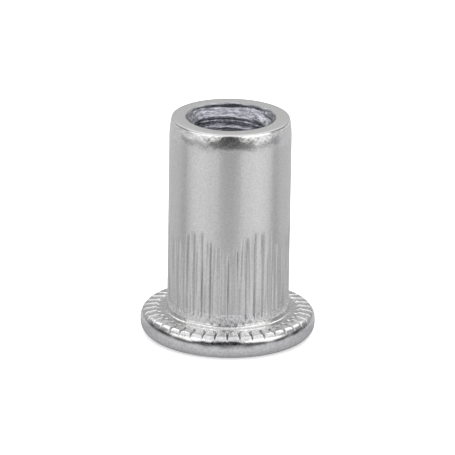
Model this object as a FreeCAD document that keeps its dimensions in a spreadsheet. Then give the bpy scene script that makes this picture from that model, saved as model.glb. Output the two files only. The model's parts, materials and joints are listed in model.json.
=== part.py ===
import FreeCAD, Part
import os
import re
import Sketcher

# Sizes of an M6 open-ended rivet nut, in millimetres and degrees.
# The origin is the centre of the flange's flat bottom face, and +Z runs up the bore.
sizes = {
    "total_length": 16.7,
    "body_diameter": 9.0,
    # flange: a thick disc with a well rounded rim
    "flange_diameter": 12.94,
    "flange_height": 1.92,
    "rim_radius": 0.9,
    "rim_band": 0.19,
    "crown_inset": 0.16,
    "crown_bevel": 0.25,
    "neck_radius": 0.5,
    # tip: the slightly drawn-in threaded end
    "tip_diameter": 8.76,
    "tip_taper_length": 1.15,
    "tip_edge": 0.12,
    # bore: a tapped length at the tip, and a wider thin-walled sleeve that folds up when set
    "minor_diameter": 5.0,
    "countersink_diameter": 6.4,
    "countersink_angle": 90.0,
    "sleeve_diameter": 6.7,
    "sleeve_depth": 8.6,
    "sleeve_cone_angle": 90.0,
    "mouth_chamfer": 0.25,
    # knurl: fine straight grooves down the sleeve, flush with the plain body
    "knurl_count": 42,
    "knurl_depth": 0.11,
    "knurl_angle": 112.0,
    "knurl_top": 9.05,
    "knurl_lead_in": 0.3,
    "knurl_run_out": 1.1,
    # serrations: radial ridges on the flange that bite into the sheet
    "serration_count": 42,
    "serration_depth": 0.24,
    "serration_angle": 80.0,
    "serration_ramp": 0.25,
    # the plain gap between the neck's fillet and both kinds of groove
    "groove_clearance": 0.03,
    # how far the groove cutters reach out of the metal
    "cutter_margin": 0.2,
}

doc = FreeCAD.newDocument("rivet_nut")
sheet = doc.addObject("Spreadsheet::Sheet", "Sizes")
for row, (name, value) in enumerate(sizes.items(), start=1):
    sheet.set(f"A{row}", name)
    sheet.set(f"B{row}", str(value))
    sheet.setAlias(f"B{row}", name)
doc.recompute()


def bound(text):
    """Put the sheet's name in front of every size in an expression."""
    return re.sub(r"[a-z_]{4,}", lambda m: f"Sizes.{m[0]}" if m[0] in sizes else m[0], text)


def values(sketch, *texts):
    return [float(sketch.evalExpression(bound(text))) for text in texts]


def place(sketch, geo, pos, across, up):
    """Tie one end of an edge to the sketch's origin by two bound distances."""
    for kind, text in (("DistanceX", across), ("DistanceY", up)):
        value, = values(sketch, text)
        index = sketch.addConstraint(Sketcher.Constraint(kind, -1, 1, geo, pos, value))
        sketch.setExpression(f"Constraints[{index}]", bound(text))


def origin_feature(role):
    return next(item for item in body.Origin.OriginFeatures if item.Role == role)


def new_sketch(name, role, offset="0"):
    """A sketch on one of the body's own planes, moved along that plane's normal."""
    sketch = body.newObject("Sketcher::SketchObject", name)
    sketch.AttachmentSupport = (origin_feature(role), [""])
    sketch.MapMode = "FlatFace"
    sketch.setExpression("AttachmentOffset.Base.z", bound(offset))
    return sketch


def closed_profile(sketch, corners):
    """Join the corners with lines, or with an arc where a corner gives the radius to the next.

    An "out" arc bulges to the right of the way from corner to corner, and an "in" arc to the
    left. The corners run counter-clockwise, so the metal lies on the left.
    """
    points = [FreeCAD.Vector(*values(sketch, x, y), 0) for x, y, _ in corners]
    for k, (_, _, radius) in enumerate(corners):
        start, end = points[k], points[(k + 1) % len(points)]
        if radius is None:
            sketch.addGeometry(Part.LineSegment(start, end))
            continue
        size, = values(sketch, radius[0])
        chord = end - start
        right = FreeCAD.Vector(chord.y, -chord.x, 0).normalize()
        side = 1 if radius[1] == "out" else -1
        middle = (start + end) * 0.5
        reach = (size ** 2 - (chord.Length / 2) ** 2) ** 0.5
        top = middle + right * side * (size - reach)
        arc = Part.Arc(start, top, end)
        sketch.addGeometry(arc)
    for k, (x, y, radius) in enumerate(corners):
        first = 1 if radius is None or radius[1] == "out" else 2
        last = 3 - first
        after = corners[(k + 1) % len(corners)][2]
        next_first = 1 if after is None or after[1] == "out" else 2
        place(sketch, k, first, x, y)
        joint = Sketcher.Constraint("Coincident", k, last, (k + 1) % len(corners), next_first)
        sketch.addConstraint(joint)
        if radius is not None:
            size, = values(sketch, radius[0])
            index = sketch.addConstraint(Sketcher.Constraint("Radius", k, size))
            sketch.setExpression(f"Constraints[{index}]", bound(radius[0]))


body = doc.addObject("PartDesign::Body", "rivet_nut")

# The whole turned form: one closed profile, revolved about the bore's axis.
flange_radius = "flange_diameter / 2"
body_radius = "body_diameter / 2"
# The crown's arc leaves the upright rim band and leans in by crown_inset below the bevel.
crown_height = "(flange_height - crown_bevel - rim_band - rim_radius)"
crown_radius = f"(crown_inset ^ 2 + {crown_height} ^ 2) / (2 * crown_inset)"
# The tip's edge is a worn-soft arc of 60 degrees, as wide as it is high.
tip_radius = "tip_edge * sqrt(2)"
countersink_depth = (
    "(countersink_diameter - minor_diameter) / 2 / tan(countersink_angle / 2 * 1deg)"
)
cone_depth = "(sleeve_diameter - minor_diameter) / 2 / tan(sleeve_cone_angle / 2 * 1deg)"
profile = new_sketch("Profile", "XZ_Plane")
closed_profile(profile, [
    ("sleeve_diameter / 2 + mouth_chamfer", "0", None),
    (f"{flange_radius} - rim_radius", "0", ("rim_radius", "out")),
    (flange_radius, "rim_radius", None),
    (flange_radius, "rim_radius + rim_band", (crown_radius, "out")),
    (f"{flange_radius} - crown_inset", "flange_height - crown_bevel", None),
    (f"{flange_radius} - crown_inset - crown_bevel", "flange_height", None),
    (f"{body_radius} + neck_radius", "flange_height", ("neck_radius", "in")),
    (body_radius, "flange_height + neck_radius", None),
    (body_radius, "total_length - tip_taper_length", None),
    ("tip_diameter / 2", "total_length - tip_edge", (tip_radius, "out")),
    ("tip_diameter / 2 - tip_edge", "total_length", None),
    ("countersink_diameter / 2", "total_length", None),
    ("minor_diameter / 2", f"total_length - {countersink_depth}", None),
    ("minor_diameter / 2", f"sleeve_depth + {cone_depth}", None),
    ("sleeve_diameter / 2", "sleeve_depth", None),
    ("sleeve_diameter / 2", "mouth_chamfer", None),
])
turned = body.newObject("PartDesign::Revolution", "Turned")
turned.Profile = profile
turned.ReferenceAxis = (origin_feature("Z_Axis"), [""])
turned.Angle = 360
doc.recompute()


def notch_section(name, role, offset, root, face, angle):
    """A V across the sketch's upright axis: its root and its open side are heights on that axis."""
    sketch = new_sketch(name, role, offset)
    half = f"abs(({face}) - ({root})) * tan({angle} / 2 * 1deg)"
    width, low, high = values(sketch, half, root, face)
    points = [
        FreeCAD.Vector(0, low, 0),
        FreeCAD.Vector(width, high, 0),
        FreeCAD.Vector(-width, high, 0),
    ]
    for k in range(3):
        sketch.addGeometry(Part.LineSegment(points[k], points[(k + 1) % 3]))
    for k in range(3):
        sketch.addConstraint(Sketcher.Constraint("Coincident", k, 2, (k + 1) % 3, 1))
    place(sketch, 0, 1, "0", root)
    place(sketch, 1, 1, half, face)
    sketch.addConstraint(Sketcher.Constraint("Symmetric", 1, 1, 2, 1, -2))
    return sketch


def notches(name, sections, count):
    """Cut one straight notch through its sections and repeat it round the axis."""
    doc.recompute()
    cut = body.newObject("PartDesign::SubtractiveLoft", f"{name}Groove")
    cut.Profile = sections[0]
    cut.Sections = sections[1:]
    cut.Ruled = True
    doc.recompute()
    ring = body.newObject("PartDesign::PolarPattern", f"{name}Ring")
    ring.Originals = [cut]
    ring.Axis = (origin_feature("Z_Axis"), [""])
    ring.Angle = 360
    ring.setExpression("Occurrences", bound(count))
    body.Tip = ring
    doc.recompute()
    return ring


# Knurl: each groove starts just above the neck, runs up the sleeve and tapers out at both ends.
knurl_bottom = "flange_height + neck_radius + groove_clearance"
knurl_face = "-body_diameter / 2 - cutter_margin"
knurl_root = "-body_diameter / 2 + knurl_depth"
knurl_sections = [
    notch_section(f"KnurlSection{k}", "XY_Plane", offset, root, knurl_face, "knurl_angle")
    for k, (offset, root) in enumerate([
        (knurl_bottom, "-body_diameter / 2"),
        (f"{knurl_bottom} + knurl_lead_in", knurl_root),
        ("knurl_top - knurl_run_out", knurl_root),
        ("knurl_top", "-body_diameter / 2"),
    ])
]
notches("Knurl", knurl_sections, "knurl_count")

# Serrations: each groove starts just outside the neck and runs out through the crown.
serration_start = "body_diameter / 2 + neck_radius + groove_clearance"
tooth_face = "flange_height + cutter_margin"
tooth_root = "flange_height - serration_depth"
tooth_sections = [
    notch_section(f"SerrationSection{k}", "XZ_Plane", offset, root, tooth_face, "serration_angle")
    for k, (offset, root) in enumerate([
        (serration_start, "flange_height"),
        (f"{serration_start} + serration_ramp", tooth_root),
        ("flange_diameter / 2 + cutter_margin", tooth_root),
    ])
]
notches("Serration", tooth_sections, "serration_count")

faults = [
    item.Name for item in doc.Objects
    if "Invalid" in item.State or "Error" in item.State
]
shape = body.Shape
if faults or shape.isNull() or not shape.isValid() or len(shape.Solids) != 1:
    raise RuntimeError(f"the rivet nut did not build: {faults}")

os.makedirs("parts", exist_ok=True)
shape.exportStep("parts/rivet_nut.step")
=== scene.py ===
import json
import math

import bpy
import numpy as np
from mathutils import Matrix, Vector


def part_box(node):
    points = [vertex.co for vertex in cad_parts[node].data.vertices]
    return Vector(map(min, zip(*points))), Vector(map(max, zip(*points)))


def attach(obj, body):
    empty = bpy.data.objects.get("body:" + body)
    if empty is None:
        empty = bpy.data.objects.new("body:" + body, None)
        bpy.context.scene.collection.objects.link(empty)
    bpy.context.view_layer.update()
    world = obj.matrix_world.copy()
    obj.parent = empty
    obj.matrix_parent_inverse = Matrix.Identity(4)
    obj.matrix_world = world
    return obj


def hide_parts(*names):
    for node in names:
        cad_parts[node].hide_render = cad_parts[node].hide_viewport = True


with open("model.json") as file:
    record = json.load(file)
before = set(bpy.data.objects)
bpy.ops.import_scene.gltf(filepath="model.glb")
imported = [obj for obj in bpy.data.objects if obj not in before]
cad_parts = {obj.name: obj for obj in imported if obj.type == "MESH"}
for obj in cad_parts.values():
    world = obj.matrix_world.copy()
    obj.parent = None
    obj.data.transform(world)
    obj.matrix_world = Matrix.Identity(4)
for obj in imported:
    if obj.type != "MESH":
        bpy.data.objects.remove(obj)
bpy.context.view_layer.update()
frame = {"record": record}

MM = 0.001

# Sizes that the frame gives, in millimetres. The surface stays a hair inside the solid's box.
mounts = {mount["name"]: mount for mount in frame["record"]["mounts"]}
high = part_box("rivet_nut")[1]
hair = 0.002
total_length = high.z / MM - hair
flange_radius = high.x / MM - hair
flange_height = mounts["head_seat"]["pos_m"][2] / MM
body_radius = mounts["shank"]["dims"]["r_mm"] - hair
minor_radius = mounts["thread"]["dims"]["r_mm"]
sleeve_radius = mounts["sleeve_bore"]["dims"]["r_mm"]
sleeve_top = (mounts["sleeve_bore"]["pos_m"][2] / MM
              + mounts["sleeve_bore"]["dims"]["length_mm"] / 2)

# Sizes below are in millimetres. The flange: its rim, its crown, the neck and the ring round it.
rim_radius = 0.9
crown_inset = 0.55
crown_height = 0.83
ridge_fall = 0.08
neck_radius = 0.15
ring_drop = 0.08
ring_edge = 5.2
ring_bevel = 0.1

# A painted shadow: a dark line painted under the ridges' ends. Where it swells and ends is given
# by how squarely the rim faces the front or the back, from 0 at the sides to 1.
ridge_shadow_height = 1.2
ridge_shadow_rise = 0.62
ridge_shadow_width = 0.12
ridge_shadow_swell = 0.1
ridge_shadow_swell_facing = 0.93
ridge_shadow_swell_reach = 0.05
ridge_shadow_end_facing = 0.36
ridge_shadow_end_reach = 0.1
ridge_shadow_blotch = 0.7
ridge_shadow_unevenness = 0.3

# The tip and the mouth of the bore. The lip is given by how far each of its rings lies outside
# the mouth's radius and below the top.
taper_start = 15.2
taper_inset = 0.1
tip_edge = 0.14
tip_edge_height = 0.34
mouth_radius = 3.22
mouth_lip = [(0.005, 0.04), (0.025, 0.012), (0.06, 0.002), (0.12, 0)]
face_margin = 0.3

# The countersink's band, which is taller at the back by mouth_band, and its cone, both painted
# darker towards the back as painted shade. How far back the painted shade reaches is given as a
# sine, from -1 in front to 1 at the back.
mouth_band = 0.27
mouth_band_least = 0.05
mouth_band_wave = 0.02
mouth_band_wave_size = 0.5
mouth_shade_edge = 0.05
mouth_shade_start = -0.3
cone_depth = 1.0
cone_painted_shade = 0.15
cone_shade_facing = 0.75
cone_shade_reach = 0.2
cone_rounding = 0.05

# The sleeve's bore with its softened edges, and the M6 thread. The crest and the flank are
# shares of the pitch, and the roundings are shares of the depth.
mouth_chamfer = 0.25
edge_break = 0.02
edge_run = 0.03
thread_pitch = 1.0
thread_depth = 0.52
thread_start = 0.4
thread_end = 0.06
half_crest = 1 / 8
flank_width = 5 / 16
crest_rounding = 0.12
root_rounding = 0.16
# How far painted shade darkens the thread's roots.
root_painted_shade = 0.03

# The knurl's grooves, and the fine scores over them. The wobble's rise is in radians per
# millimetre, and its step in radians per groove.
groove_count = 42
knurl_depth = 0.09
knurl_depth_range = (0.65, 1.0)
knurl_depth_wave = 0.2
knurl_half_angle = math.radians(45)
knurl_rounding = 0.012
knurl_wobble = 0.01
knurl_wobble_rise = 1.9
knurl_wobble_step = 2.4
knurl_start = flange_height + 0.5
knurl_lead = 0.15
knurl_lead_in = 0.5
knurl_top = 8.75
knurl_wave_count = 6
knurl_top_wave = 0.7
knurl_top_scatter = 0.18
knurl_run_out = 0.55
# How far painted shade darkens the knurl's grooves.
knurl_painted_shade = 0.5
score_depth = 0.024
score_width = 0.22
score_stretch = 36.0

# The serrations, which share the knurl's count and phase. The power rounds their ridges.
serration_depth = 0.3
serration_depth_range = (0.9, 1.08)
serration_fall = 0.1
serration_start = ring_edge - 0.05
serration_ramp = 0.12
ridge_power_inside = 3
ridge_power_outside = 5
ridge_power_reach = 0.5
ridge_rounding = 0.05
# How far painted shade darkens the hollows between the ridges, and its power.
serration_painted_shade = 0.85
serration_shade_power = 0.65

# How the surface is divided. The outer columns crowd towards the grooves, and the thread's rows
# are shares of the pitch on either side of the middle of its crest.
columns_per_groove = 16
column_crowding = 0.35
outer_per_inner = 4
outer_columns = groove_count * columns_per_groove
inner_columns = outer_columns // outer_per_inner
row_gap = 0.06
row_shares = [0.09, 0.13, 0.17, 0.25, 0.33, 0.41, 0.46]
rows_per_pitch = 2 * len(row_shares)
random = np.random.default_rng(42)

# Numbers of the finishes on the one piece, the height up to which it has the flange's, and the
# height from which it has the one of the tip's end.
BODY, FLANGE, TIP, BORE = range(4)
flange_finish_top = knurl_start + 0.4
end_finish_start = total_length - 0.02

# How deep the tumbling dented the outside at heights up the nut, and how wide the dents are.
dent_heights = [0.02, 0.15, 1.0, 1.85, 2.25, 2.4, 2.6, 3.0, 15.2, 15.9, 16.5, 16.66, 16.68]
dent_depths = [0.0, 0.003, 0.007, 0.002, 0.002, 0.018, 0.013, 0.003, 0.003, 0.004, 0.008, 0.004, 0.0]
dent_sizes = (0.3, 0.6, 1.3)
dent_limit = 3


def soft_min(a, b, reach):
    """The smaller of two values, with the corner between them rounded over the given reach.

    It blends b into a by share, which goes from 0 to 1 over the reach, less a parabola of share.
    """
    share = np.clip(0.5 + 0.5 * (b - a) / reach, 0, 1)
    return b * (1 - share) + a * share - reach * share * (1 - share)


def smooth_step(value):
    """0 below 0, 1 above 1, and 3t^2 - 2t^3 between."""
    t = np.clip(value, 0, 1)
    return t * t * (3 - 2 * t)


def arc(centre, radii, start, end, count):
    """Points of an ellipse's arc: centre + (a cos t, b sin t), for t in degrees."""
    t = np.radians(np.linspace(start, end, count))
    return np.stack([centre[0] + radii[0] * np.cos(t), centre[1] + radii[1] * np.sin(t)], 1)


def line(start, end, count):
    """Evenly spaced points from start up to, and without, the end."""
    t = np.linspace(0, 1, count, endpoint=False)[:, None]
    return np.array(start) * (1 - t) + np.array(end) * t


def outer_profile():
    """The outside from the mouth, round the flange and up the body to the tip, as (r, z) rows.

    The body leans in towards the tip by a parabola, and every edge is an arc of an ellipse. The
    rows are closest at the edges, where the knurl starts and where its grooves end. The first
    and the last row lie face_margin outside the bore's edges, and joining_faces closes the rest.
    """
    even_start, ends_start, ends_top = 2.9, 6.6, 9.4
    crown_start = flange_height - crown_height
    crown_radius = flange_radius - crown_inset
    crown_top = flange_height - ridge_fall
    neck = body_radius + neck_radius
    ring_height = flange_height - ring_drop
    edge = arc((0, 0), (tip_edge, tip_edge_height), 20, 90, 9)
    taper_z = np.linspace(taper_start, total_length - tip_edge_height + edge[0, 1], 12)
    lean = (taper_z - taper_start) / (taper_z[-1] - taper_start)
    taper = np.stack([body_radius - taper_inset * lean ** 2, taper_z], 1)
    edge_radius = taper[-1, 0] - edge[0, 0]
    return np.concatenate([
        line((sleeve_radius + mouth_chamfer + face_margin, 0), (flange_radius - rim_radius, 0), 3),
        arc((flange_radius - rim_radius, rim_radius), (rim_radius, rim_radius), -90, 0, 12),
        arc((crown_radius, crown_start), (crown_inset, crown_height - ridge_fall), 0, 86, 17),
        line((crown_radius, crown_top), (ring_edge + ring_bevel, flange_height), 8),
        line((ring_edge + ring_bevel, flange_height), (ring_edge, ring_height), 3),
        line((ring_edge, ring_height), (neck, ring_height), 3),
        arc((neck, ring_height + neck_radius), (neck_radius, neck_radius), -90, -180, 7),
        line((body_radius, ring_height + neck_radius + row_gap), (body_radius, even_start), 9),
        line((body_radius, even_start), (body_radius, ends_start), 7),
        line((body_radius, ends_start), (body_radius, ends_top), 18),
        line((body_radius, ends_top), (body_radius, taper_start), 4),
        taper[:-1],
        edge + np.array([edge_radius, total_length - tip_edge_height]),
        [(edge_radius - face_margin, total_length), (mouth_radius + face_margin, total_length)],
    ])


def groove_offsets(angle, radius):
    """The arc distance to the nearest groove, and that groove's number."""
    step = 2 * math.pi / groove_count
    number = np.round(angle / step).astype(int)
    return radius * np.sin(angle - number * step), number % groove_count


def cut_serrations(radius, height, angle):
    """Lower the flange's upper side into round-backed ridges with sharp radial grooves between.

    Across a ridge the surface is depth * (1 - share)^n below the top, where share is 0 in the
    groove and 1 on the ridge, or the profile's height where that is lower. Going outwards the
    power n grows, which rounds the ridges' inner ends and leaves a thin line between them.
    """
    distance, number = groove_offsets(angle, radius)
    outwards = (radius - serration_start) / (flange_radius - serration_start)
    depth = (serration_depth + serration_fall * outwards) * serration_depths[number]
    depth = depth * smooth_step((radius - serration_start) / serration_ramp)
    share = np.abs(distance) * groove_count / (math.pi * radius)
    growth = smooth_step((radius - serration_start) / ridge_power_reach)
    power = ridge_power_inside + (ridge_power_outside - ridge_power_inside) * growth
    cut = flange_height - depth * (1 - np.clip(share, 0, 1)) ** power
    top_side = (height > rim_radius) & (radius > serration_start)
    return np.where(top_side, soft_min(height, cut, ridge_rounding), height)


def cut_knurl(radius, height, angle):
    """Draw the body in at upright V grooves that end in points at uneven heights.

    A groove is drawn in by depth - distance / tan(half angle), where that is above 0, and its
    depth fades out at both ends. Each groove wobbles sideways by a slow sine wave, and fine
    upright scores, the hollows of drawn-out waves, run over them all.
    """
    distance, number = groove_offsets(angle, body_radius)
    wobble = np.sin(knurl_wobble_rise * height + knurl_wobble_step * number)
    distance = distance + knurl_wobble * wobble
    fade = smooth_step((knurl_tops[number] - height) / knurl_run_out)
    fade *= smooth_step((height - knurl_start + knurl_lead) / knurl_lead_in)
    depth = knurl_depth * knurl_depths[number] * fade
    cut = np.abs(distance) / math.tan(knurl_half_angle) - depth
    grooves = soft_min(0 * cut, cut, knurl_rounding) * (fade > 0)
    scores = np.clip(waves(angle, height, score_width, score_stretch), -2, 0) * score_depth * fade
    drawn = grooves + scores
    return radius + drawn


def waves(angle, height, size, stretch=1.0, count=70):
    """A random field of about -2 to 2 on the surface: a sum of cosine waves of one size in mm.

    Each wave is cos(m * angle + k * height + phase), with a whole number m round the axis, and
    is drawn out upwards by the stretch.
    """
    number = 2 * math.pi * body_radius / size
    around = np.round(number * random.uniform(-1, 1, count))
    along = np.sqrt(np.maximum(number ** 2 - around ** 2, 0)) / (body_radius * stretch)
    phase = random.uniform(0, 2 * math.pi, count)
    field = 0 * (angle + height)
    for m, k, p in zip(around, along, phase):
        field = field + np.cos(m * angle + k * height + p)
    return field * math.sqrt(2 / count)


def dented(radius, height, angle, normals):
    """Push the surface in along its profile's normals by shallow random dents.

    The push is depth * (1 - field / limit), so it goes from none to twice the depth.
    """
    depth = np.interp(height, dent_heights, dent_depths)
    field = sum(waves(angle, height, size) for size in dent_sizes)
    depth = depth * (1 - np.clip(field, -dent_limit, dent_limit) / dent_limit)
    return radius - depth * normals[:, :1], height - depth * normals[:, 1:]


def profile_normals(profile):
    """Outward unit normals of the profile, from the chord between each point's neighbours."""
    along = np.gradient(profile, axis=0)
    normal = np.stack([along[:, 1], -along[:, 0]], 1)
    return normal / np.linalg.norm(normal, axis=1, keepdims=True)


def turned(radius, height, angle):
    """Points at the given distance from the axis, height and angle, in metres."""
    points = [radius * np.cos(angle), radius * np.sin(angle), height + 0 * angle]
    return np.stack(points, -1).reshape(-1, 3) * MM


def ring_angles(columns):
    """Even angles, counted so that column 0 lies towards the camera."""
    return np.arange(columns) * 2 * math.pi / columns - math.pi / 2


def crowded_angles():
    """The outer columns, drawn towards the grooves by a sine wave of one groove's step."""
    turn = ring_angles(outer_columns) + math.pi / 2
    return turn - column_crowding * np.sin(groove_count * turn) / groove_count - math.pi / 2


def ridge_shadow(radius, height, angle):
    """How dark the painted shadow under the ridges is: exp(-(distance / width)^2), times a random
    unevenness.

    It runs round the front and the back, where it is widest, and rises and fades out towards
    the sides.
    """
    facing = np.abs(np.cos(angle))
    swell = ridge_shadow_swell * smooth_step((facing - ridge_shadow_swell_facing) / ridge_shadow_swell_reach)
    line_height = ridge_shadow_height + ridge_shadow_rise * (1 - facing) + swell
    shade = np.exp(-((height - line_height) / (ridge_shadow_width + swell)) ** 2)
    ends = smooth_step((facing - ridge_shadow_end_facing) / ridge_shadow_end_reach)
    shade *= (radius > ring_edge) * ends
    return shade * (1.0 + ridge_shadow_unevenness * waves(angle, height, ridge_shadow_blotch))


def outer_surface():
    """The profile at every angle, with both kinds of groove cut in.

    The painted shade, which darkens the metal's colour, is the largest of the share of a groove's
    depth, to a power in the serrations, and of the painted shadow under the ridges.
    """
    profile = outer_profile()
    angle = crowded_angles()[None, :]
    radius = profile[:, :1] + 0 * angle
    height = profile[:, 1:] + 0 * angle
    from_front = angle + math.pi / 2
    grooved = cut_serrations(radius, height, from_front)
    drawn_in = cut_knurl(radius, height, from_front)
    # Painted shade: darker down between the serrations' ridges and in the knurl's grooves.
    between_ridges = np.clip((height - grooved) / serration_depth, 0, 1) ** serration_shade_power
    in_knurl = knurl_painted_shade * (radius - drawn_in) / knurl_depth
    recess = np.maximum(serration_painted_shade * between_ridges, in_knurl)
    # Painted shadow: a dark line painted under the ridges' ends.
    recess = np.maximum(recess, ridge_shadow(radius, height, from_front))
    drawn_in, grooved = dented(drawn_in, grooved, from_front, profile_normals(profile))
    level = profile[:-1, 1:] + 0 * angle
    finish = np.full(level.shape, BODY)
    finish[level < flange_finish_top] = FLANGE
    finish[level > end_finish_start] = TIP
    return turned(drawn_in, grooved, angle), finish, np.clip(recess, 0, 1).ravel()


def thread_form(share):
    """Depth of the thread at a share of the pitch, counted from the middle of its crest.

    It rises evenly along flanks of about 60 degrees, (share - half the crest) / flank, and is
    kept between 0 at the crest and 1 at the root, with both corners rounded.
    """
    flank = (np.abs(share) - half_crest) / flank_width
    rooted = soft_min(flank, 1 + 0 * flank, root_rounding)
    return thread_depth * -soft_min(-rooted, 0 * flank, crest_rounding)


def thread_surface():
    """Rows that climb with the helix: height = pitch * (row's place in its pitch + angle / turn).

    Every few columns one row ends at the top and another starts at the bottom, so the rows
    follow the thread's edges all the way and the ends stay nearly level. The radius is the
    largest of the thread's form and of the 45 degree cones at both ends. The countersink was
    cut a little off centre, so the band above its cone is tallest at the back. That band, a little
    of its cone and a little of the thread's roots are painted darker, as painted shade.
    """
    share = np.array(row_shares)
    shares = np.concatenate([-share[::-1], share])
    bottom, top = sleeve_top + thread_start, total_length - thread_end
    rows = int((top - bottom) / thread_pitch * rows_per_pitch) - 1
    column = np.arange(inner_columns)
    number = np.arange(rows)[:, None] - (column * rows_per_pitch // inner_columns)[None, :]
    place = shares[number % rows_per_pitch]
    height = thread_pitch * (place + number // rows_per_pitch + column / inner_columns)
    height += bottom + thread_pitch / 2
    cone_low = sleeve_radius - (height - sleeve_top)
    angle = ring_angles(inner_columns)
    backwards = np.sin(angle)
    wave = mouth_band_wave * waves(angle, 0, mouth_band_wave_size)
    band = mouth_band * np.maximum(backwards, 0) ** 2 + wave + mouth_band_least
    cone_high = mouth_radius - np.maximum(total_length - band - height, 0)
    form = minor_radius + thread_form(place)
    radius = -soft_min(-np.maximum(cone_low, cone_high), -form, cone_rounding)
    # Painted shade: the thread's roots a little darker, and the band and the cone darker towards the
    # back.
    in_root = root_painted_shade * np.clip((form - minor_radius) / thread_depth, 0, 1)
    on_band = smooth_step((height - total_length + band) / mouth_shade_edge + 0.5)
    on_band *= smooth_step(backwards - mouth_shade_start)
    at_back = smooth_step((backwards - cone_shade_facing) / cone_shade_reach)
    on_cone = cone_painted_shade * at_back * (height > total_length - cone_depth)
    recess = np.maximum(in_root, on_band + on_cone)
    return turned(radius, height, angle[None, :]), rows, recess.ravel()


def inner_rings(pairs):
    """Plain rings of the bore at the given (r, z) pairs."""
    pairs = np.array(pairs)
    return turned(pairs[:, :1], pairs[:, 1:], ring_angles(inner_columns)[None, :])


def grid_faces(start, rows, columns):
    """Quads between neighbouring rows of a closed grid, facing out where the rows go up."""
    row = start + np.arange(rows - 1)[:, None] * columns
    here = np.arange(columns)[None, :]
    after = (here + 1) % columns
    return np.stack([row + here, row + after, row + columns + after, row + columns + here],
                    -1).reshape(-1, 4)


def thread_faces(start, rows, below, above):
    """Faces of the climbing rows and of the two bands that join them to level rings.

    A row meets the same row of the next column, or the one above it where the rows climb.
    """
    here = np.arange(inner_columns)
    after = (here + 1) % inner_columns
    climbs = (here + 1) * rows_per_pitch // inner_columns > here * rows_per_pitch // inner_columns
    lift = climbs.astype(int)
    row = np.arange(rows - 1)[:, None]
    quads = np.stack([
        start + row * inner_columns + here,
        start + (row + 1) * inner_columns + here,
        start + (row + 1 + lift) * inner_columns + after,
        start + (row + lift) * inner_columns + after,
    ], -1)
    inside = np.broadcast_to(row + 1 + lift < rows, quads.shape[:2])
    first = start
    last = start + (rows - 1) * inner_columns
    level, jump = here[~climbs], here[climbs]
    level_next, jump_next = after[~climbs], after[climbs]
    fours = [
        np.stack([below + level, first + level, first + level_next, below + level_next], 1),
        np.stack([last + level, above + level, above + level_next, last + level_next], 1),
    ]
    fives = [
        np.stack([below + jump, first + jump, first + inner_columns + jump_next,
                  first + jump_next, below + jump_next], 1),
        np.stack([last - inner_columns + jump, last + jump, above + jump, above + jump_next,
                  last + jump_next], 1),
    ]
    return np.concatenate([quads[inside], *fours]), np.concatenate(fives)


def joining_faces(coarse, fine):
    """Flat faces, each from one edge of the bore's ring to four edges of the outside's ring."""
    here = np.arange(inner_columns)
    after = (here + 1) % inner_columns
    steps = range(outer_per_inner + 1)
    beside = [fine + (outer_per_inner * here + step) % outer_columns for step in steps]
    return np.stack([coarse + here, *beside, coarse + after], 1)


def add_mesh(name, points, faces, finish, recess):
    """A smooth mesh object whose faces take their materials by number.

    Its points carry their painted shade, from 0 to 1, as a point attribute: mostly how far they lie
    down in a groove.
    """
    mesh = bpy.data.meshes.new(name)
    mesh.from_pydata(points.tolist(), [], faces)
    mesh.polygons.foreach_set("use_smooth", np.ones(len(faces), bool))
    mesh.polygons.foreach_set("material_index", finish.astype(np.int32))
    mesh.attributes.new("recess", "FLOAT", "POINT").data.foreach_set("value", recess)
    mesh.update()
    piece = bpy.data.objects.new(name, mesh)
    bpy.context.scene.collection.objects.link(piece)
    return piece


# Each groove's depth as a share, and the height of each knurl groove's upper end. The knurl's
# come in waves round the nut, as its tool left them.
groove_angles = np.arange(groove_count) * 2 * math.pi / groove_count
groove_waves = np.cos(knurl_wave_count * groove_angles)
serration_depths = random.uniform(*serration_depth_range, groove_count)
knurl_depths = random.uniform(*knurl_depth_range, groove_count) - knurl_depth_wave * groove_waves
knurl_tops = knurl_top - knurl_top_wave * groove_waves
knurl_tops += random.uniform(-knurl_top_scatter, knurl_top_scatter, groove_count)


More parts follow.
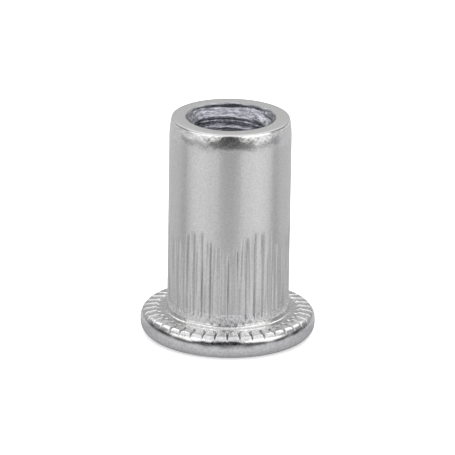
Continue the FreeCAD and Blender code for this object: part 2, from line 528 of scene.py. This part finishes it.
def rivet_nut_mesh():
    """One closed skin: outside, thread, sleeve bore, and the flat bands that join them."""
    outside, outside_finish, outside_painted_shade = outer_surface()
    outside_rows = len(outside_finish) + 1
    thread, thread_rows, thread_painted_shade = thread_surface()
    sleeve = [
        (sleeve_radius + mouth_chamfer, 0),
        (sleeve_radius + edge_break, mouth_chamfer - edge_break),
        (sleeve_radius, mouth_chamfer + edge_run),
        (sleeve_radius, sleeve_top / 3),
        (sleeve_radius, sleeve_top * 2 / 3),
        (sleeve_radius, sleeve_top - edge_run),
        (sleeve_radius - edge_break, sleeve_top + edge_break),
    ]
    mouth = [(mouth_radius + out, total_length - down) for out, down in mouth_lip]
    parts = [outside, inner_rings(sleeve), thread, inner_rings(mouth)]
    starts = np.cumsum([0] + [len(part) for part in parts])
    sleeve_last = starts[1] + (len(sleeve) - 1) * inner_columns
    mouth_last = starts[3] + (len(mouth) - 1) * inner_columns
    outside_last = starts[0] + (outside_rows - 1) * outer_columns
    outer_quads = grid_faces(starts[0], outside_rows, outer_columns)
    bore_quads = np.concatenate([
        grid_faces(starts[1], len(sleeve), inner_columns)[:, ::-1],
        grid_faces(starts[3], len(mouth), inner_columns)[:, ::-1],
    ])
    thread_quads, thread_fives = thread_faces(starts[2], thread_rows, sleeve_last, starts[3])
    bottom_joint = joining_faces(starts[1], starts[0])[:, ::-1]
    top_joint = joining_faces(mouth_last, outside_last)
    groups = [outer_quads, bottom_joint, top_joint, bore_quads, thread_quads, thread_fives]
    faces = [face for group in groups for face in group.tolist()]
    counts = [len(group) for group in groups]
    finish = np.repeat([BODY, FLANGE, TIP, BORE, BORE, BORE], counts)
    finish[:counts[0]] = outside_finish.ravel()
    recess = np.zeros(sum(len(part) for part in parts))
    recess[:len(outside)] = outside_painted_shade
    recess[starts[2]:starts[3]] = thread_painted_shade
    return np.concatenate(parts), faces, finish, recess


points, faces, finish, recess = rivet_nut_mesh()
nut = add_mesh("rivet_nut_surface", points, faces, finish, recess)
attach(nut, "root")
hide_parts("rivet_nut")


def linear(text):
    """A hex sRGB colour as linear red, green, blue and alpha."""
    shares = [int(text[k:k + 2], 16) / 255 for k in (0, 2, 4)]
    return [c / 12.92 if c <= 0.04045 else ((c + 0.055) / 1.055) ** 2.4 for c in shares] + [1.0]


def add_node(tree, kind, settings=None, values=None, links=None):
    """Add a node, set its properties and socket values, and link other sockets into it.

    Sockets are named, or counted from 0 where names repeat.
    """
    node = tree.nodes.new(kind)
    for name, value in (settings or {}).items():
        setattr(node, name, value)
    for name, value in (values or {}).items():
        node.inputs[name].default_value = value
    for name, source in (links or {}).items():
        tree.links.new(source, node.inputs[name])
    return node


def new_material(name):
    """A material with an empty node tree, and that tree."""
    material = bpy.data.materials.new(name)
    material.use_nodes = True
    material.node_tree.nodes.clear()
    return material, material.node_tree


def per_mm(size):
    """Texture scale for a pattern of the given size in millimetres."""
    return 1 / (size * MM)


def worked_aluminium(name, size, shade, light, roughness, relief, painted_shade_strength, stretch=(1, 1, 1)):
    """A material of bare aluminium with a grain, given as the grain's size in millimetres.

    The real grain is too fine to show, so it is drawn about two pixels of the photograph wide.
    The stretch draws the grain out along x, y and z. Shade and light are the colours of its
    hollows and crests, the relief is its height in millimetres, and the strength of the painted
    shade says how far painted shade darkens the grooves' bottoms and the other places the point
    attribute marks.
    """
    hollows, crests = 0.34, 0.62
    painted_shade_grey = linear("6a6a6c")
    material, tree = new_material(name)
    place = add_node(tree, "ShaderNodeTexCoord").outputs["Object"]
    drawn_out = add_node(tree, "ShaderNodeMapping", None,
                         {"Scale": [1 / share for share in stretch]}, {"Vector": place})
    grain = add_node(tree, "ShaderNodeTexNoise", None,
                     {"Scale": per_mm(size), "Detail": 4.0, "Roughness": 0.6},
                     {"Vector": drawn_out.outputs["Vector"]})
    share = add_node(tree, "ShaderNodeMapRange", None,
                     {"From Min": hollows, "From Max": crests},
                     {"Value": grain.outputs["Fac"]})
    tone = add_node(tree, "ShaderNodeMixRGB", None,
                    {"Color1": linear(shade), "Color2": linear(light)},
                    {"Fac": share.outputs["Result"]})
    # Painted shade: the point attribute multiplies the colour towards a dark grey.
    recess = add_node(tree, "ShaderNodeAttribute", {"attribute_name": "recess"})
    depth = add_node(tree, "ShaderNodeMapRange", None, {"To Max": painted_shade_strength},
                     {"Value": recess.outputs["Fac"]})
    colour = add_node(tree, "ShaderNodeMixRGB", {"blend_type": "MULTIPLY"},
                      {"Color2": painted_shade_grey},
                      {"Fac": depth.outputs["Result"], "Color1": tone.outputs["Color"]})
    dents = add_node(tree, "ShaderNodeBump", None, {"Strength": 1.0, "Distance": relief * MM},
                     {"Height": grain.outputs["Fac"]})
    shader = add_node(tree, "ShaderNodeBsdfPrincipled", None,
                      {"Metallic": 1.0, "Roughness": roughness},
                      {"Base Color": colour.outputs["Color"], "Normal": dents.outputs["Normal"]})
    add_node(tree, "ShaderNodeOutputMaterial", None, None, {"Surface": shader.outputs["BSDF"]})
    return material


def drawn_aluminium():
    """The body: bare aluminium, drawn through a ring, closed in at the tip and then tumbled.

    The drawing leaves a satin skin that spreads each light into a soft upright band. The tip
    was pressed in a die, so the skin is gone there and it mirrors more sharply. Its border
    is ragged: the change comes with the height plus a random offset.
    """
    satin_roughness, satin_spread = 0.38, 0.85
    pressed_roughness, pressed_spread = 0.22, 0.0
    pressed_start, pressed_full = taper_start, taper_start + 0.5
    raggedness, rag_width = 0.25, 0.6
    noise_low, noise_high = 0.3, 0.7
    quarter_turn = 0.25
    # Painted shade darkens its knurl's grooves.
    material = worked_aluminium("drawn_aluminium", 0.14, "d8d8d6", "e8e8e6",
                                roughness=satin_roughness, relief=0.004, painted_shade_strength=0.5)
    tree = material.node_tree
    shader = tree.nodes["Principled BSDF"]
    place = add_node(tree, "ShaderNodeTexCoord")
    height = add_node(tree, "ShaderNodeSeparateXYZ", None, None,
                      {"Vector": place.outputs["Object"]})
    ragged = add_node(tree, "ShaderNodeTexNoise", None,
                      {"Scale": per_mm(rag_width), "Detail": 3.0},
                      {"Vector": place.outputs["Object"]})
    offset = add_node(tree, "ShaderNodeMapRange", None,
                      {"From Min": noise_low, "From Max": noise_high,
                       "To Min": -raggedness * MM, "To Max": raggedness * MM},
                      {"Value": ragged.outputs["Fac"]})
    border = add_node(tree, "ShaderNodeMath", {"operation": "ADD"}, None,
                      {0: height.outputs["Z"], 1: offset.outputs["Result"]})
    for socket, satin, pressed in (("Roughness", satin_roughness, pressed_roughness),
                                   ("Anisotropic", satin_spread, pressed_spread)):
        change = add_node(tree, "ShaderNodeMapRange", None,
                          {"From Min": pressed_start * MM, "From Max": pressed_full * MM,
                           "To Min": satin, "To Max": pressed},
                          {"Value": border.outputs["Value"]})
        tree.links.new(change.outputs["Result"], shader.inputs[socket])
    shader.inputs["Anisotropic Rotation"].default_value = quarter_turn
    return material


# Pressed in a die that left the flange bright: sharp white and dark lines along its edges,
# broken up by fine dents. Its grooves are painted darker, as painted shade.
pressed_aluminium = worked_aluminium("pressed_aluminium", 0.18, "d8d8d8", "f2f2f0",
                                     roughness=0.17, relief=0.018, painted_shade_strength=0.9)
# Cut across and tumbled: the tip's end is an even satin.
cut_aluminium = worked_aluminium("cut_aluminium", 0.12, "dcdcda", "e8e8e6",
                                 roughness=0.3, relief=0.012, painted_shade_strength=0.0)
# Freshly cut by a tap: cooler than outside, with fine dark lines round the bore. Painted shade
# darkens its thread's roots, and a band and its cone towards the back of the mouth.
tapped_aluminium = worked_aluminium("tapped_aluminium", 0.12, "86878e", "d8d9df",
                                    roughness=0.22, relief=0.08, painted_shade_strength=0.9, stretch=(5, 5, 1))
# In the order of the finishes' numbers.
for material in (drawn_aluminium(), pressed_aluminium, cut_aluminium, tapped_aluminium):
    nut.data.materials.append(material)


def plain_material(name, colour, roughness, glow):
    """One matt colour, which also shines by itself where there is a glow."""
    material, tree = new_material(name)
    shader = add_node(tree, "ShaderNodeBsdfPrincipled", None,
                      {"Base Color": linear(colour), "Roughness": roughness,
                       "Emission Color": linear(colour), "Emission Strength": glow})
    add_node(tree, "ShaderNodeOutputMaterial", None, None, {"Surface": shader.outputs["BSDF"]})
    return material


def add_stage(name, points, faces, material):
    """A plain mesh that belongs to the studio and not to the nut."""
    mesh = bpy.data.meshes.new(name)
    mesh.from_pydata([tuple(point) for point in points], [], faces)
    mesh.materials.append(material)
    prop = bpy.data.objects.new(name, mesh)
    bpy.context.scene.collection.objects.link(prop)
    return prop


def floor_sheet():
    """A wide square of white paper on a light table, just under the nut."""
    half, drop = 1500 * MM, -0.02 * MM
    corners = [(-half, -half, drop), (half, -half, drop), (half, half, drop), (-half, half, drop)]
    paper = plain_material("matt_paper", "f6f6f6", roughness=0.9, glow=0.5)
    add_stage("floor", corners, [(0, 1, 2, 3)], paper)


def add_card(name, points, faces, colour, glow):
    """A studio card of matt felt that shows only in the metal's reflections."""
    felt = plain_material(name, colour, roughness=1.0, glow=glow)
    card = add_stage(name, points, faces, felt)
    card.visible_camera = False
    card.visible_diffuse = False
    card.visible_shadow = False
    return card


def grey_disc():
    """A grey disc that lies round the nut, a hair above the paper, and tones the reflections.

    It is darkest beside the nut and lightest in front of it.
    """
    front_grey, beside_grey, behind_grey = "979799", "7a7a7c", "909092"
    front_reach, behind_reach = 9 * MM, 5 * MM
    radius, drop = 200 * MM, -0.01 * MM
    corners = 64
    spread = np.radians(np.arange(corners) * 360 / corners)
    rim = np.stack([radius * np.cos(spread), radius * np.sin(spread), drop + 0 * spread], 1)
    felt = add_card("grey_felt", rim, [tuple(range(corners))], front_grey, glow=0.8)
    tree = felt.data.materials[0].node_tree
    place = add_node(tree, "ShaderNodeTexCoord")
    back = add_node(tree, "ShaderNodeSeparateXYZ", None, None, {"Vector": place.outputs["Object"]})
    beside = add_node(tree, "ShaderNodeMapRange", None,
                      {"From Min": -front_reach, "From Max": 0.0},
                      {"Value": back.outputs["Y"]})
    behind = add_node(tree, "ShaderNodeMapRange", None,
                      {"From Min": 0.0, "From Max": behind_reach},
                      {"Value": back.outputs["Y"]})
    front_tone = add_node(tree, "ShaderNodeMixRGB", None,
                          {"Color1": linear(front_grey), "Color2": linear(beside_grey)},
                          {"Fac": beside.outputs["Result"]})
    tone = add_node(tree, "ShaderNodeMixRGB", None, {"Color2": linear(behind_grey)},
                    {"Fac": behind.outputs["Result"], "Color1": front_tone.outputs["Color"]})
    for socket in ("Base Color", "Emission Color"):
        tree.links.new(tone.outputs["Color"], tree.nodes["Principled BSDF"].inputs[socket])


def dark_card():
    """A black card that stands in front, curved round the nut, in steps below the camera's view.

    It is a dark horizon low down, and higher where it darkens the front of the tip.
    """
    step_azimuths = [-100, -42, -40, -19, -17, 17, 19, 40, 42, 100]
    step_heights = np.array([5, 5, 15, 15, 42, 42, 15, 15, 5, 5]) * MM
    distance = 70 * MM
    azimuth = np.linspace(step_azimuths[0], step_azimuths[-1], 81)
    height = np.interp(azimuth, step_azimuths, step_heights)
    spread = np.radians(azimuth - 90)
    x, y = distance * np.cos(spread), distance * np.sin(spread)
    lower = np.stack([x, y, 0 * x], 1)
    upper = np.stack([x, y, height], 1)
    count = len(spread)
    quads = [(k, k + 1, count + k + 1, count + k) for k in range(count - 1)]
    add_card("black_felt", np.concatenate([lower, upper]), quads, "262626", glow=0.0)


def soft_box(name, azimuth, elevation, width, height, radiance, tint=(1, 1, 1)):
    """A rectangular light that faces the nut. Angles are degrees, with azimuth 0 at the camera.

    Its power is radiance * pi * area, so the radiance is what a mirror would show.
    """
    distance = 300 * MM
    turn, tilt = math.radians(azimuth), math.radians(elevation)
    target = Vector((0, 0, total_length / 2 * MM))
    away = Vector((math.sin(turn) * math.cos(tilt), -math.cos(turn) * math.cos(tilt),
                   math.sin(tilt)))
    light = bpy.data.lights.new(name, "AREA")
    light.shape = "RECTANGLE"
    light.size = 2 * distance * math.tan(math.radians(width / 2))
    light.size_y = 2 * distance * math.tan(math.radians(height / 2))
    light.energy = radiance * math.pi * light.size * light.size_y
    light.color = tint
    lamp = bpy.data.objects.new(name, light)
    lamp.location = target + away * distance
    lamp.rotation_euler = away.to_track_quat("Z", "Y").to_euler()
    bpy.context.scene.collection.objects.link(lamp)
    return lamp


floor_sheet()
grey_disc()
dark_card()
# Each light by its azimuth, elevation, width and height in degrees, and its radiance. The two in
# front give the body its light bands, the walls and those behind and above light its sides, the
# rim and the tip's end, and the last one only whitens the paper.
soft_box("left_box", -50, 18, 64, 33, 1.3)
soft_box("right_box", 50, 18, 64, 33, 1.5)
soft_box("left_wall", -108, 24, 46, 44, 0.3)
soft_box("right_wall", 108, 24, 46, 44, 0.3)
soft_box("back_wall", 180, 16, 100, 28, 0.38)
soft_box("back_top_box", 180, 46, 80, 32, 0.85)
soft_box("top_box", 0, 85, 96, 108, 0.92, tint=(0.97, 0.97, 1.0))
paper_light = soft_box("paper_light", 0, 90, 60, 60, 1.5)
paper_light.visible_glossy = False

dim_room = (0.05, 0.05, 0.055, 1)
world = bpy.data.worlds.new("studio")
world.use_nodes = True
world.node_tree.nodes["Background"].inputs["Color"].default_value = dim_room
bpy.context.scene.world = world
bpy.context.scene.view_settings.view_transform = "Standard"


def add_camera():
    """The photograph's view: a long lens that looks down on the nut, turned by a small roll."""
    tilt, roll = math.radians(19.471), math.radians(0.9006)
    lens, sensor = 463.96, 36
    nearest = 10 * MM
    distance = 431.85 * MM
    aim = Vector((-0.1156, 0, 8.1)) * MM
    forward = Vector((0, math.cos(tilt), -math.sin(tilt)))
    level = Vector((1, 0, 0))
    upright = level.cross(forward)
    right = math.cos(roll) * level + math.sin(roll) * upright
    up = math.cos(roll) * upright - math.sin(roll) * level
    data = bpy.data.cameras.new("camera")
    data.lens = lens
    data.sensor_width = sensor
    data.clip_start = nearest
    camera = bpy.data.objects.new("camera", data)
    spot = Matrix((right, up, -forward)).transposed().to_4x4()
    spot.translation = aim - forward * distance
    camera.matrix_world = spot
    bpy.context.scene.collection.objects.link(camera)
    bpy.context.scene.camera = camera


add_camera()
